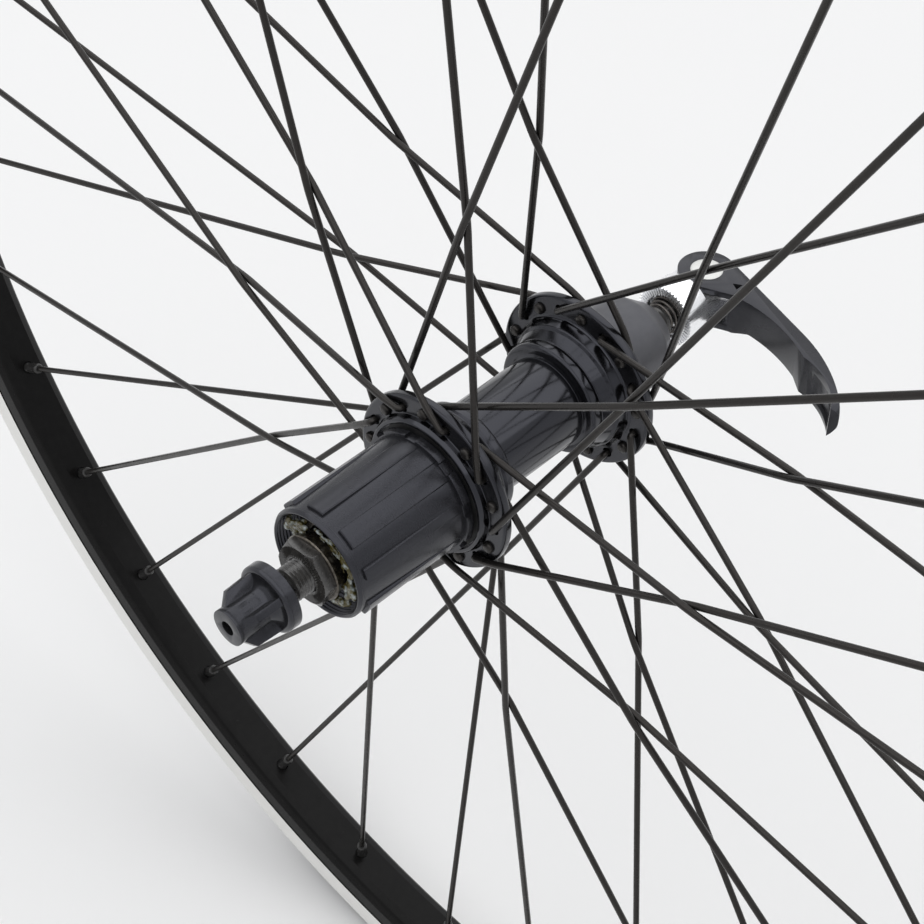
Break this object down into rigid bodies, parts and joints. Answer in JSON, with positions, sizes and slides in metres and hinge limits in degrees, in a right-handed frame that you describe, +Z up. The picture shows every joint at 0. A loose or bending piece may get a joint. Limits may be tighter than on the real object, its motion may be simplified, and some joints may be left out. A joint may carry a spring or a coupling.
{
  "type": "bicycle wheel",
  "caption": "Rear bicycle wheel: hooked double-wall rim laced with crossed, interlaced spokes to a flanged cassette hub with a freehub, hollow axle and quick-release skewer.",
  "frame": {"origin": "centre of the wheel: on the axle's line, in the rim's middle plane", "axes": "+Y along the axle towards the quick-release lever (left side of the bicycle), +Z up, so the drive side is at -Y"},
  "size_m": [0.5699, 0.195, 0.57],
  "materials": {
    "rim_black": "black anodised, satin, with a machined braking edge",
    "spoke_black": "black coated stainless wire, semi-gloss",
    "nipple_black": "black plated",
    "hub_black": "black anodised, polished barrel and satin flanges",
    "freehub_grey": "dark grey anodised, satin",
    "cap_grey": "dark grey, bead blasted",
    "steel": "ground steel",
    "steel_black": "black oxide",
    "silver": "polished silver",
    "lever_black": "black painted casting, satin",
    "pin_white": "turned, pale",
    "nut_grey": "dark grey anodised, satin",
    "spring_steel": "spring wire, dull",
    "seal_rubber": "black rubber"
  },
  "bodies": {
    "axle_set": {"axle": "steel_black", "right_locknut": "steel_black", "right_spacer": "steel", "freehub_spacer": "steel", "middle_spacer": "steel", "hub_spacer": "steel", "left_spacer": "steel", "left_end_cap": "cap_grey"},
    "wheel": {"rim": "rim_black", "nipples": "nipple_black", "drive_outer_spokes": "spoke_black", "drive_inner_spokes": "spoke_black", "left_outer_spokes": "spoke_black", "left_inner_spokes": "spoke_black", "hub_shell": "hub_black", "left_bearing": "steel", "right_bearing": "steel", "ratchet_ring": "steel"},
    "freehub": {"freehub_body": "freehub_grey", "freehub_outer_bearing": "steel", "freehub_inner_bearing": "steel", "pawl_springs": "spring_steel", "freehub_seal": "seal_rubber"},
    "pawl_a": {"pawl_a": "steel"},
    "pawl_b": {"pawl_b": "steel"},
    "pawl_c": {"pawl_c": "steel"},
    "skewer_housing": {"qr_housing": "silver", "qr_spring": "spring_steel"},
    "skewer_rod": {"qr_rod": "steel"},
    "skewer_lever": {"qr_lever": "lever_black", "qr_cam": "pin_white"},
    "skewer_nut": {"qr_nut": "nut_grey"}
  },
  "joints": [
    {"name": "wheel_spin", "type": "hinge", "parent": "axle_set", "child": "wheel", "pos_m": [0, 0, 0], "axis": [0, 1, 0], "continuous": true},
    {"name": "freehub_spin", "type": "hinge", "parent": "wheel", "child": "freehub", "pos_m": [0, 0, 0], "axis": [0, 1, 0], "continuous": true},
    {"name": "pawl_a_swing", "type": "hinge", "parent": "freehub", "child": "pawl_a", "pos_m": [-0.0027, -0.0197, 0.013], "axis": [0, 1, 0], "range_deg": [0, 20], "stiffness_Nm_per_rad": 0.0001, "springref_deg": -28.65, "deforming": ["pawl_springs"]},
    {"name": "pawl_b_swing", "type": "hinge", "parent": "freehub", "child": "pawl_b", "pos_m": [-0.00991, -0.0197, -0.00884], "axis": [0, 1, 0], "range_deg": [0, 20], "stiffness_Nm_per_rad": 0.0001, "springref_deg": -28.65, "deforming": ["pawl_springs"]},
    {"name": "pawl_c_swing", "type": "hinge", "parent": "freehub", "child": "pawl_c", "pos_m": [0.01261, -0.0197, -0.00416], "axis": [0, 1, 0], "range_deg": [0, 20], "stiffness_Nm_per_rad": 0.0001, "springref_deg": -28.65, "deforming": ["pawl_springs"]},
    {"name": "skewer_turn", "type": "hinge", "parent": "axle_set", "child": "skewer_housing", "pos_m": [0, 0.08, 0], "axis": [0, 1, 0], "continuous": true},
    {"name": "lever_swing", "type": "hinge", "parent": "skewer_housing", "child": "skewer_lever", "pos_m": [0, 0.0942, 0], "axis": [0, 0, 1], "range_deg": [0, 180]},
    {"name": "rod_slide", "type": "slide", "parent": "skewer_housing", "child": "skewer_rod", "axis": [0, -1, 0], "range_m": [0, 0.0021]},
    {"name": "nut_turn", "type": "hinge", "parent": "skewer_rod", "child": "skewer_nut", "pos_m": [0, -0.084, 0], "axis": [0, 1, 0], "continuous": true}
  ],
  "couplings": [
    {"joint": "rod_slide", "follows": "lever_swing", "m_per_rad": 0.00063662}
  ]
}
